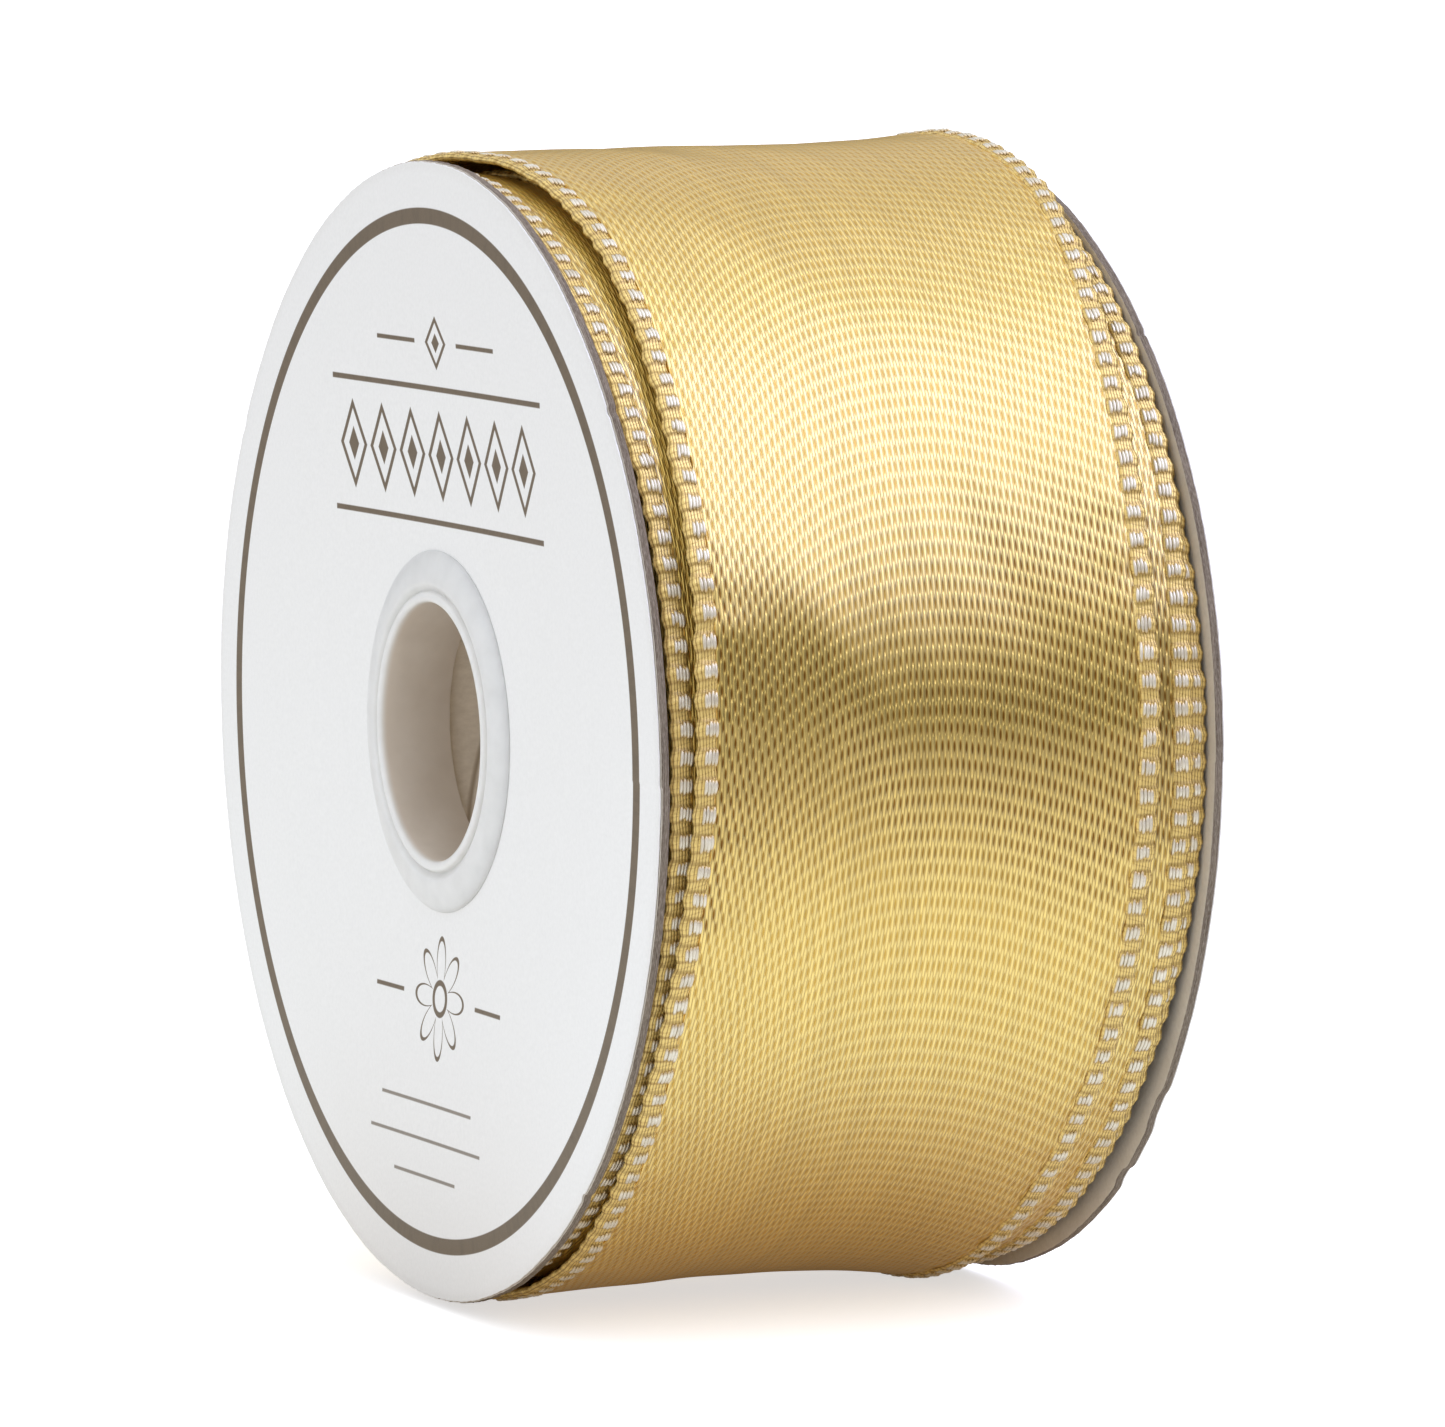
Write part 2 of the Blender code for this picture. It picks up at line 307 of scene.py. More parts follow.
class Material(Nodes):
    def __init__(self, name):
        self.mat = bpy.data.materials.new(name)
        self.mat.use_nodes = True
        super().__init__(self.mat.node_tree)
        self.out = self.add("ShaderNodeOutputMaterial")
        self.surface = self.add("ShaderNodeBsdfPrincipled")
        self.put(self.out.inputs[0], Value(self, self.surface.outputs[0]))

    def set(self, **values):
        for key, value in values.items():
            self.put(self.surface.inputs[key.replace("_", " ")], value)

    def obj(self):
        """Object coordinates in mm."""
        metres = self.get("ShaderNodeTexCoord", output="Object")
        return self.get("ShaderNodeVectorMath", {0: metres, "Scale": 1000.0}, operation="SCALE")

    def uv(self):
        """Along the piece and across it, both in mm except on the float threads."""
        return self.sep(self.get("ShaderNodeUVMap", uv_map="UVMap"))[:2]

    def bump(self, height, distance, strength=1.0):
        """distance is the relief in mm."""
        self.set(Normal=self.get("ShaderNodeBump", {
            "Strength": strength, "Distance": distance * MM, "Height": height}))


def srgb(*channels):
    """Linear colour from sRGB channels of 0 to 255."""
    shares = [c / 255 for c in channels]
    return tuple(c / 12.92 if c <= 0.04045 else ((c + 0.055) / 1.055) ** 2.4 for c in shares)


# ------------------------------------------------------------------ materials
# In these, x.step(low, high) and x.lin(low, high) give the range of x they act over.
def mat_satin():
    k = Material("gold_satin_weave")
    thread_w, float_l = 0.245, 2.60
    pit_w, pit_l = 0.72, 0.235     # pit half width in half threads, half length in floats
    # painted shade: the two darker golds are shade painted into the pits and seams between the
    # threads, and top_gold is the colour of the crowns
    deepest_shade_gold, hollow_shade_gold, top_gold = srgb(138, 92, 12), srgb(214, 174, 80), srgb(247, 217, 121)
    u, v = k.uv()
    # the weft bows a little across the ribbon, so the weave drifts as it is followed
    bow = v * v * 0.006 + (v * 0.13).math("SINE") * 0.8
    drift = k.grain(u, v, 0.035, 0.05, detail=2.0)
    u = u + bow + drift * 1.6
    wobble = k.grain(u, v, 0.10, 0.22, shift=3.0, detail=2.0)
    place = (v + (wobble - 0.5) * 0.30) / thread_w
    thread = place.math("FLOOR")
    in_thread = place - thread
    tint, jitter = k.white(thread), k.white(thread + 0.37)
    # each thread's floats start about half a float after its neighbour's
    stagger = u / float_l - thread * (0.512 - thread * (0.00053 - thread * 0.0000019))
    phase = (stagger + jitter * 0.05).math("FRACT")
    x = in_thread * 2.0 - 1.0
    crown = (1.0 - x * x).math("MAXIMUM", 0.0).math("SQRT")
    # where a float dives under the weft its neighbours swell in: a lens-shaped pit
    to_end = phase.math("MINIMUM", 1.0 - phase)
    pit_x, pit_y = x / pit_w, to_end / pit_l
    pit = (pit_x * pit_x + pit_y * pit_y).math("SQRT").step(0.25, 1.20)
    height = (0.12 + crown * 0.88) * (0.05 + pit * 0.95)
    along = phase * 2.0 - 1.0
    height = height * (1.0 - along * along * 0.30)
    # brightness varies by thread, in streaks and in broad clouds
    streak = k.grain(u, v, 0.6, 4.2)
    cloud = k.grain(u, v, 0.05, 0.08, shift=7.0, detail=2.0)
    light = 0.80 + (tint * 0.14 + (streak * 0.20 + cloud * 0.08))
    # painted shade in the pits and seams: square on, the eye reaches the bottom of the pits, so
    # they are painted darkest; at a slant the crowns hide them and the hollows are painted a
    # lighter shade
    facing = k.get("ShaderNodeLayerWeight", (0.5,), "Facing")
    low = k.mix(facing.step(0.085, 0.17), deepest_shade_gold, hollow_shade_gold)
    gold = k.mix(height.step(0.10, 0.88), low, top_gold)
    col = k.mix(1.0, gold, k.comb(light, light, light), "MULTIPLY")
    # painted reflection tint: where the cloth is seen at a slant, the gold is painted deeper and
    # more saturated
    col = k.mix(facing.step(0.30, 0.85), col, k.mix(1.0, col, (1.0, 0.90, 0.55), "MULTIPLY"))
    k.set(Base_Color=col, Metallic=0.90, Roughness=height.lin(0.1, 1.0, start=0.44, end=0.28),
          Anisotropic=0.78, Specular_IOR_Level=0.6, Anisotropic_Rotation=0.25,
          Tangent=k.get("ShaderNodeTangent", direction_type="UV_MAP", uv_map="UVMap"),
          Coat_Weight=height.lin(0.15, 0.75, start=0.08, end=0.75),
          Coat_Roughness=0.25, Coat_IOR=2.1)
    k.bump(height, distance=0.095)
    return k.mat


def mat_edge():
    """Woven edge: gold threads bound along a cord, drawn in between the blocks."""
    k = Material("gold_woven_edge")
    strand_w, slant = 0.265, 1.6
    u, v = k.uv()
    v = v + k.grain(u, v, 0.9, 1.2, detail=2.0) * 0.10
    strand = abs((v * (math.pi / strand_w)).math("SINE"))
    rib = abs((u * (math.pi / RIB) + v * slant).math("SINE"))
    mottle = k.grain(u, v, 3.0, 7.0)
    height = strand ** 0.6 * (0.45 + rib ** 0.5 * 0.55)
    # painted shade: the low parts between the strands and ribs are painted dark gold, the tops
    # light gold
    col = k.mix(height.step(0.10, 0.80), srgb(146, 108, 40), srgb(244, 216, 134))
    col = mottle.fade(col, srgb(220, 184, 100), end=0.30)
    # the ends of the blocks are drawn down tight, and the gold in that dip is painted darker as
    # shade
    near = abs((u / PITCH + 0.5).math("FRACT") - 0.5)
    block_end_shade = near.step(0.20, 0.27) * near.step(0.42, 0.32)
    col = k.mix(block_end_shade * 0.45, col, srgb(140, 102, 34))
    k.set(Base_Color=col, Metallic=0.55, Roughness=0.42,
          Coat_Weight=0.25, Coat_Roughness=0.3, Coat_IOR=1.8)
    k.bump(height, distance=0.05, strength=0.8)
    return k.mat


def mat_float():
    """Cream threads, going gold where their ends dive; u runs from -1.06 to 1.06."""
    k = Material("cream_float_threads")
    u, _ = k.uv()
    p = k.obj()
    col = k.noise(p, scale=1.1).fade(srgb(216, 206, 184), srgb(244, 238, 222))
    ends = abs(u).step(0.42, 0.98)
    col = k.mix(ends * 0.75, col, srgb(206, 172, 96))
    fine = k.noise(p, scale=9.0, detail=2.0)
    k.set(Base_Color=col, Metallic=0.50, Roughness=0.34,
          Coat_Weight=0.35, Coat_Roughness=0.25, Coat_IOR=1.7)
    k.bump(fine, distance=0.02, strength=0.35)
    return k.mat


def mat_label(front):
    """White paper with a printed ring; the front also has rules, lozenges and a rosette."""
    k = Material("front_label_paper" if front else "rear_label_paper")
    p = k.obj()
    x, _, z = k.sep(p)
    if not front:
        x = x * -1.0
    r = k.length(x, 0.0, z)
    soft = 0.05                    # half width of the blur at an inked edge

    def below(value, limit):
        return value.step(limit + soft, limit - soft)

    def band(value, low, high):
        return value.step(low - soft, low + soft) * below(value, high)

    def bar(centre_x, centre_z, width, height):
        dx, dz = abs(x - centre_x), abs(z - centre_z)
        return below(dx, width / 2) * below(dz, height / 2)

    ink = band(r, 38.55, 39.77)
    shapes = []
    if front:
        # one lozenge, ringed, between two short rules
        middle, top_z = 1.2, 29.6
        shapes += [bar(-6.6, top_z, 7.4, 0.34), bar(9.0, top_z, 7.4, 0.34)]
        d = abs(x - middle) + abs(z - top_z)
        shapes += [band(d, 1.55, 2.05), below(d, 0.75)]
        # a row of seven lozenges between two long rules
        row_z, row_pitch, row_half = 21.0, 5.6, 19.6
        shapes += [bar(middle, 26.1, 41.0, 0.42), bar(middle, 15.9, 41.0, 0.42)]
        across = ((x + (row_half - middle)) / row_pitch).math("FRACT") - 0.5
        d = abs(across) * row_pitch + abs(z - row_z) * 0.72
        row = band(d, 1.95, 2.5) + below(d, 0.95)
        shapes.append(row * below(abs(x - middle), row_half))
        # a rosette of eight petals between two short rules
        rose_x, rose_z = 0.6, -20.4
        dx, dz = x - rose_x, z - rose_z
        rose_r = k.length(dx, 0.0, dz)
        angle = dz.math("ARCTAN2", dx)
        past_petal = rose_r - (1.9 + abs((angle * 4.0).math("COSINE")) * 2.9)
        shapes += [band(past_petal, -0.38, 0.0), band(rose_r, 1.0, 1.45)]
        shapes += [bar(-9.0, rose_z, 5.2, 0.34), bar(10.2, rose_z, 5.2, 0.34)]
        # three fainter lines at the foot: (z, width)
        lines = [bar(-1.0, line_z, width, 0.26)
                 for line_z, width in ((-28.6, 17.5), (-31.4, 21.5), (-34.2, 12.0))]
        faint = lines[0]
        for line in lines[1:]:
            faint = faint.math("MAXIMUM", line)
        shapes.append(faint * 0.85)
    for shape in shapes:
        ink = ink.math("MAXIMUM", shape)
    fibre = k.noise(p, scale=3.2, detail=4.0)
    fine = k.noise(p, scale=11.0)
    speck = k.noise(p, scale=1.3, detail=2.0).step(0.74, 0.80)
    white = fibre.fade(srgb(243, 243, 242), srgb(248, 248, 247))
    white = k.mix(speck * 0.12, white, srgb(225, 224, 224))
    # a little wear at the rim
    worn = r.step(42.2, 43.2)
    white = k.mix(worn * fine.lin(0.35, 0.65, start=0.05, end=0.22), white, srgb(214, 210, 203))
    radial = k.grain(z.math("ARCTAN2", x), r, 60.0, 0.5)
    taupe = fine.fade(srgb(110, 95, 75), srgb(128, 115, 98), end=0.35)
    taupe = radial.fade(taupe, srgb(92, 80, 64), end=0.45, low=0.45, high=0.75)
    k.set(Base_Color=k.mix(ink, white, taupe), Roughness=ink.lin(0.0, 1.0, start=0.55, end=0.42),
          Specular_IOR_Level=0.35)
    k.bump(fine * 0.6 + fibre, distance=0.02, strength=0.35)
    return k.mat


def mat_board():
    k = Material("grey_board")
    normal = k.get("ShaderNodeTexCoord", output="Normal")
    p = k.obj()
    x, y, z = k.sep(p)
    flat = abs(k.sep(normal)[1]).step(0.55, 0.85)     # the faces, against the cut edge
    angle = z.math("ARCTAN2", x)
    # plies and torn fibres along the cut edge
    ply = k.grain(angle, y, 9.0, 11.0, detail=4.0, rough=0.6)
    fibre = k.grain(angle, y, 90.0, 14.0, rough=0.6)
    edge = ply.fade(srgb(94, 82, 70), srgb(140, 127, 112), low=0.35, high=0.65)
    edge = fibre.fade(edge, srgb(196, 186, 174), end=0.6, low=0.45, high=0.8)
    cloud = k.noise(p, scale=0.16, detail=4.0)
    grain = k.noise(p, scale=2.4, detail=5.0, rough=0.65)
    face = cloud.fade(srgb(214, 206, 194), srgb(224, 217, 206))
    face = grain.fade(face, srgb(186, 175, 160), end=0.30, low=0.35)
    k.set(Base_Color=k.mix(flat, edge, face), Roughness=0.88, Specular_IOR_Level=0.25)
    k.bump(fibre * (1.0 - flat) + grain * 0.5, distance=0.09, strength=0.8)
    return k.mat


def mat_core():
    k = Material("kraft_tube")
    x, y, z = k.sep(k.obj())
    angle = z.math("ARCTAN2", x)
    # spiral seam of the wound strip
    strip_w = 26.0
    wound = (y / strip_w + angle / (2 * math.pi)).math("FRACT")
    seam = wound.step(0.0, 0.012) * wound.step(1.0, 0.985)
    fibre = k.grain(angle, y, 20.0, 1.0, detail=5.0, rough=0.6)
    col = fibre.fade(srgb(222, 210, 192), srgb(238, 227, 210))
    col = k.mix(seam, srgb(176, 160, 140), col)
    k.set(Base_Color=col, Roughness=0.9, Specular_IOR_Level=0.2)
    k.bump(fibre * 0.4 + seam, distance=0.08, strength=0.7)
    return k.mat


def mat_bush():
    """Milky plastic; the paperboard tube shows through the thin sleeve."""
    k = Material("milky_plastic")
    p = k.obj()
    x, y, z = k.sep(p)
    r = k.length(x, 0.0, z)
    depth = FACE_Y - abs(y)
    cloud = k.noise(p, scale=0.45)
    col = cloud.fade(srgb(232, 232, 230), srgb(242, 242, 240))
    thin = depth.step(0.05, 0.75) * r.step(10.35, 9.95)
    # painted shade: the groove between the crest and the lip of the collar is painted darker
    groove = r.step(10.45, 10.75) * r.step(11.35, 10.95)
    col = k.mix(groove * 0.35, col, srgb(208, 205, 198))
    tube = k.noise(p, scale=0.25).fade(srgb(216, 204, 190), srgb(226, 215, 202),
                                       low=0.35, high=0.65)
    k.set(Base_Color=k.mix(thin, col, tube), Roughness=thin.lin(0.0, 1.0, start=0.30, end=0.36),
          Subsurface_Weight=thin.lin(0.0, 1.0, start=0.6, end=0.25), Subsurface_Scale=0.002,
          Subsurface_Radius=(1.0, 0.95, 0.9), IOR=1.49, Specular_IOR_Level=0.45)
    k.bump(cloud, distance=0.04, strength=0.25)
    return k.mat


def mat_wire():
    k = Material("fine_wire")
    mottle = k.noise(k.obj(), scale=3.0)
    k.set(Base_Color=k.mix(mottle, srgb(150, 140, 126), srgb(196, 188, 176)),
          Metallic=1.0, Roughness=0.34)
    return k.mat


def mat_tape():
    k = Material("clear_tape_film")
    cloud = k.noise(k.obj(), scale=0.9, detail=4.0)
    k.set(Base_Color=k.mix(cloud, srgb(238, 238, 236), srgb(250, 250, 248)),
          Roughness=cloud.lin(0.3, 0.7, start=0.14, end=0.30), Specular_IOR_Level=0.8, IOR=1.46,
          Alpha=cloud.lin(0.35, 0.65, start=0.20, end=0.30))
    k.bump(cloud, distance=0.05, strength=0.3)
    return k.mat


SATIN, EDGE, FLOAT = mat_satin(), mat_edge(), mat_float()
BOARD, CORE, BUSH, WIRE, TAPE = mat_board(), mat_core(), mat_bush(), mat_wire(), mat_tape()

# ------------------------------------------------------------------ flanges and hub
# rings of a flange face, as shares of its outer radius
STATIONS = (1.0, 0.994, 0.975, 0.94, 0.88, 0.80, 0.70, 0.60, 0.50, 0.42, 0.36, 0.335)
RIM_SHARE = 0.94                   # the rim's knocks die away inside this share
RIM_ROUND_R, RIM_ROUND_Y = 0.03, 0.05     # rounding in mm, and as a share of thickness
# side: (sign of y, seed, knocks on the rim as (angle, half width in degrees, depth in mm))
FLANGES = {
    "front": (-1, 31, [(37.7, 0.45, 0.16), (-47.2, 0.5, 0.20), (151.0, 0.8, 0.14)]),
    "rear": (1, 57, [(-39.0, 2.4, 0.34), (-49.8, 1.5, 0.30), (45.5, 0.35, 0.18),
                     (201.0, 1.2, 0.22)]),
}


def dish(r):
    """How far the flange is sunk towards the middle."""
    u = np.clip((DISH_R1 - r) / (DISH_R1 - DISH_R0), 0, 1)
    return DISH * (ease(u) * 0.35 + u * 0.65)


def rim_radius(theta, base, knocks, seed):
    """A die-cut edge: almost round, with a few knocks."""
    wobble = waves(seed, (37.0, 11.0, 3.1, 1.3), (0.03, 0.02, 0.012, 0.010))
    r = base + wobble(np.radians(theta) * base)
    for angle, half_width, depth in knocks:
        away = (theta - angle + 180.0) % 360.0 - 180.0
        r = r - depth * np.exp(-(away / half_width) ** 4)
    return r


def disc(name, side, outer, top, thick, mat, edge_shares):
    """A dished ring with its outer face at top; edge_shares place rings on the cut edge."""
    sign, seed, knocks = FLANGES[side]
    theta = np.linspace(0, 360, 1080, endpoint=False)
    rim = rim_radius(theta, outer, knocks, seed)
    radii = [s * outer + (rim - outer) * max(0.0, (s - RIM_SHARE) / (1 - RIM_SHARE))
             for s in STATIONS]
    radii.append(np.full(theta.size, HOLE_R))

    def face(level, nudge):
        rings = [(r, level - dish(r)) for r in radii]
        r, y = rings[0]
        rings[0] = (r - RIM_ROUND_R, y + nudge)
        return rings

    nudge = RIM_ROUND_Y * thick
    rings = face(top, -nudge) + face(top - thick, nudge)[::-1]
    for share in edge_shares:
        rough = waves(seed + 11 + int(share * 10), (2.3, 1.1, 0.6), (0.012, 0.012, 0.010))
        rings.append((rim + rough(np.radians(theta) * outer), top - thick * (1 - share)))
    # the whole flange is warped, most at the rim
    warp_r = 43.0
    bend = waves(seed + 3, (136.0, 91.0, 55.0), (0.05, 0.04, 0.02))(np.radians(theta) * warp_r)
    points = [at(theta, r, sign * (y + bend * (r / warp_r) ** 3)) for r, y in rings]
    return loft(name, np.stack(points, 1), mat, ring=True, sharp=40)


def bush_profile():
    """Collar, groove, lip and sleeve of a bush, as (radius, y)."""
    profile = [(COLLAR_R - 0.06, BUSH_BACK)]
    for i in range(25):            # rounded collar, rising inwards to its crest
        a = math.radians(3 + 87 * i / 24)
        profile.append((CREST_R + (COLLAR_R - CREST_R) * math.cos(a),
                        BUSH_BACK + 0.06 + 0.78 * math.sin(a) ** 1.1))
    for i in range(1, 9):          # down into the groove
        u = i / 8
        profile.append((CREST_R - 0.62 * u,
                        BUSH_BACK + 0.84 - 0.34 * math.sin(u * math.pi / 2) ** 2))
    for i in range(11):            # rounded lip of the bore
        a = math.pi * i / 10
        profile.append((10.26 + 0.40 * math.cos(a), BUSH_BACK + 0.56 + 0.36 * math.sin(a)))
    end = FACE_Y - SLEEVE_DEPTH
    return profile + [(BORE_R + 0.02, FACE_Y - 0.6), (BORE_R, FACE_Y - 1.4),
                      (BORE_R, end + 0.12), (BORE_R + 0.10, end), (SLEEVE_R - 0.12, end),
                      (SLEEVE_R, end + 0.15), (SLEEVE_R, BUSH_BACK)]


for side in FLANGES:
    board = disc(side + "_board_disc", side, FLANGE_R, FACE_Y - LABEL_T - PLY_GAP, BOARD_T,
                 BOARD, (0.2, 0.4, 0.6, 0.8))
    register(board, side + "_flange_board", "spool")
    label = disc(side + "_face_paper", side, LABEL_R, FACE_Y, LABEL_T,
                 mat_label(side == "front"), (0.5,))
    register(label, side + "_label", "spool")

for side, (sign, _, _) in FLANGES.items():
    bush = turned(side + "_hub_bush", bush_profile(), BUSH, sign=sign, sharp=50)
    register(bush, side + "_bush", "spool")

tube_y = np.linspace(-CORE_HALF, CORE_HALF, 40)
tube = turned("core_paper_tube", [(CORE_R1, y) for y in tube_y] + [(CORE_R0 + 0.05, CORE_HALF)]
              + [(CORE_R0, y) for y in tube_y[::-1]], CORE, n=200, sharp=40)
register(tube, "core_tube", "spool")

# ------------------------------------------------------------------ ribbon tracks
# y of a ribbon edge at each angle: (degrees, mm)
outer_front = knots([
    (-90, -20.0), (-62, -20.0), (-50, -20.4), (-40, -20.6), (-28, -20.8), (-12, -20.4),
    (0, -19.9), (16, -19.6), (34, -19.0), (50, -18.55), (60, -18.35), (70, -18.45),
    (80, -18.8), (88, -19.6), (97, -20.6), (110, -21.1), (130, -21.0), (155, -20.4),
    (180, -19.9), (215, -19.6), (250, -19.8)])
outer_rear = knots([
    (-90, 16.3), (-59, 16.1), (-41, 16.3), (-28, 16.7), (-10, 16.9), (5, 17.2), (14, 17.3),
    (28, 17.8), (36, 18.3), (49, 19.3), (61, 20.5), (68, 21.1), (80, 21.4), (100, 21.4),
    (125, 20.9), (155, 19.9), (185, 18.9), (220, 17.9), (250, 16.9)])
second_rear = knots([
    (-90, 19.9), (-60, 20.1), (-40, 20.3), (-24, 20.5), (5, 20.6), (15, 20.8), (22, 21.1),
    (31, 21.55), (45, 21.7), (70, 21.75), (100, 21.7), (150, 21.3), (200, 20.8), (240, 20.2)])
third_front = knots([
    (-90, -21.6), (-60, -21.55), (-40, -21.45), (-20, -21.35), (5, -21.3), (20, -21.3),
    (40, -21.65), (60, -21.8), (90, -21.8), (130, -21.7), (180, -21.4), (230, -21.5)])
fourth_rear = knots([
    (-90, 21.6), (-75, 21.5), (-61, 21.1), (-50, 20.95), (-33, 21.05), (-24, 21.4),
    (-8, 21.75), (5, 21.88), (30, 21.85), (60, 21.6), (120, 21.5), (180, 21.7), (230, 21.7)])


def shifted(track, offset):
    return lambda theta: track(theta) + offset


# Outer radius of each turn's cloth; s is -1 at the front edge and 1 at the rear.
# The wound roll sits a little high in the flanges, hence the terms in the sine.
def outer_r(theta, s):
    base = OUTER_R - 0.15 * s + 0.60 * s ** 2 + 0.60 * s ** 3
    # slack at the front edge and a hollow near the middle, both around 19 degrees
    near = (np.mod(theta + 160.0, 360.0) - 179.0) / 9.0
    slack = 0.70 * ((1 - s) / 2) ** 2 - 0.30 * np.exp(-((s - 0.15) / 0.45) ** 2)
    high = np.sin(np.radians(theta)) * (0.70 + 0.15 * s - 0.28 * s * s)
    return base + high + slack * np.exp(-near ** 2)


def second_r(theta, s):
    u = (s + 1) / 2
    top = np.clip(np.sin(np.radians(theta)), 0, 1)
    return SECOND_R + 1.22 * u ** 3 + top * (0.40 * u ** 2 + 0.75 * (1 - u) ** 4)


def third_r(theta, s):
    u = (1 - s) / 2
    high = np.sin(np.radians(theta))
    q = np.clip((u - 0.80) / 0.13, 0, 1)
    return (THIRD_R + u ** 3 * (0.78 - 0.45 * np.clip(-high, 0, 1))
            + (0.42 + 0.12 * np.clip(high, 0, 1)) * ease(q))


def fourth_r(theta, s):
    return FOURTH_R + 1.78 * ((s + 1) / 2) ** 6


def level(theta):
    return np.zeros_like(theta)


def tip_lift(theta):
    """The rise of the free end."""
    return LIFT * ease(np.clip((theta - LIFT_START) / LIFT_SPAN, 0, 1))


front_pucker = waves(71, (5.3, 3.4, 8.1), (0.05, 0.035, 0.05))
rear_pucker = waves(72, (4.7, 3.1, 9.2), (0.05, 0.035, 0.05))
swell = waves(73, (58.0, 33.0, 19.0), (0.08, 0.06, 0.03))
cross_swell = waves(74, (17.0, 11.0), (0.03, 0.02))


def cloth_r(theta, s, profile, lift):
    """Satin's outer radius with its slack: puckers die away from the wired edges."""
    t = np.radians(theta) * ARC_R
    near = np.clip((np.abs(s) - 0.55) / 0.45, 0, 1) ** 2
    r = profile(theta, s) + lift(theta)
    r = r + near * np.where(s < 0, front_pucker(t), rear_pucker(t))
    return r + (1 - s * s) * (swell(t + 16 * s) + cross_swell(t + 30 * s))


# ------------------------------------------------------------------ ribbon turns
def arc_angles(start, end, step):
    """Angles about step mm apart along the ribbon."""
    return np.linspace(start, end, max(8, int(round(np.radians(end - start) * ARC_R / step))) + 1)


def satin_cloth(name, theta, front, rear, profile, lift, across):
    front, rear = front(theta)[:, None], rear(theta)[:, None]
    theta = theta[:, None]
    inner_front, inner_rear = front + EDGE_W - EDGE_LAP, rear - EDGE_W + EDGE_LAP
    y = inner_front + (inner_rear - inner_front) * np.linspace(0, 1, across + 1)[None, :]
    from_middle = y - (front + rear) / 2
    r = cloth_r(theta, from_middle / ((rear - front) / 2), profile, lift)
    front_dip = np.clip(1 - (y - inner_front) / ROLL_W, 0, 1)
    rear_dip = np.clip(1 - (inner_rear - y) / ROLL_W, 0, 1)
    r = r - ROLL_DROP * (front_dip ** 2 + rear_dip ** 2)
    points = np.concatenate([at(theta, r, y), at(theta, r - SATIN_T, y)[:, ::-1]], 1)
    along = np.repeat(np.radians(theta) * ARC_R, points.shape[1], 1)
    over = np.concatenate([from_middle, from_middle[:, ::-1]], 1)
    return loft(name + "_satin_cloth", points, SATIN, along, over, sharp=60)


def woven_edge(name, theta, arc, middle, radius, sign):
    """A flattened cord with scallops, ribs and fine lengthwise cords on top."""
    m = 22
    phi = np.linspace(0, 2 * np.pi, m, endpoint=False)
    wide = np.sign(np.cos(phi)) * np.abs(np.cos(phi)) ** 0.85
    tall = np.sign(np.sin(phi)) * np.abs(np.sin(phi)) ** 0.8
    upper = tall > 0
    rib = 0.020 * np.cos(2 * np.pi * arc / RIB)[:, None]
    # swells at each block, drawn in between
    scallop = 0.105 * np.cos(2 * np.pi * ((arc / PITCH) % 1.0))[:, None]
    y = sign * wide * (EDGE_HALF + (scallop + rib) * np.where(np.cos(phi) > 0, 1.0, 0.6))
    height = tall * (EDGE_B + rib * 0.9 + 0.7 * scallop * upper)
    cords = 0.028 * np.cos(2 * np.pi * (wide * EDGE_HALF) / 0.33) * upper
    points = at(theta[:, None], radius[:, None] + height + cords, middle[:, None] + y)
    along = np.repeat(arc[:, None], m, 1)
    over = np.repeat((wide * EDGE_HALF + (tall < 0) * 3.0)[None, :], theta.size, 0)
    return loft(name + "_woven_edge", points, EDGE, along, over, sharp=70)


def edge_wire(name, theta, middle, radius, sign, overhang):
    """The wire inside an edge; overhang is how far it stands out at the end, mm."""
    angles = theta[::8].copy()
    if angles[-1] != theta[-1]:
        angles = np.append(angles, theta[-1])
    angles[-1] += np.degrees(overhang / ARC_R)
    y = np.interp(angles, theta, middle) + sign * 0.18
    r = np.interp(angles, theta, radius)
    phi = np.linspace(0, 2 * np.pi, 10, endpoint=False)
    points = at(angles[:, None], r[:, None] + WIRE_R * np.sin(phi),
                y[:, None] + WIRE_R * np.cos(phi))
    return loft(name + "_wire_core", points, WIRE)


# cream floats: places of the four strands across the edge (positive towards the flange),
# and stations along a strand in half lengths
LANES = np.array([-0.60, -0.335, -0.07, 0.195])
FLOAT_AT = np.array([-0.86, -0.55, -0.2, 0.2, 0.55, 0.86])
FLOAT_TIP = 1.06
TIP_SINK = -0.13
FLOAT_THICK = 0.150 * np.sqrt(1 - FLOAT_AT ** 2) ** 0.55
FLOAT_RISE = 0.085 * np.cos(FLOAT_AT * np.pi / 2) ** 0.8 - 0.015
SIDES = 6


def float_faces():
    """Quads along one strand and the triangles closing its tips."""
    last = len(FLOAT_AT) - 1
    tip = SIDES * len(FLOAT_AT)
    quads, tris = [], []
    for i in range(last):
        for j in range(SIDES):
            a, b = i * SIDES + j, i * SIDES + (j + 1) % SIDES
            quads.append((a, a + SIDES, b + SIDES, b))
    for j in range(SIDES):
        j2 = (j + 1) % SIDES
        tris += [(tip, j, j2), (tip + 1, last * SIDES + j2, last * SIDES + j)]
    return np.array(quads), np.array(tris)


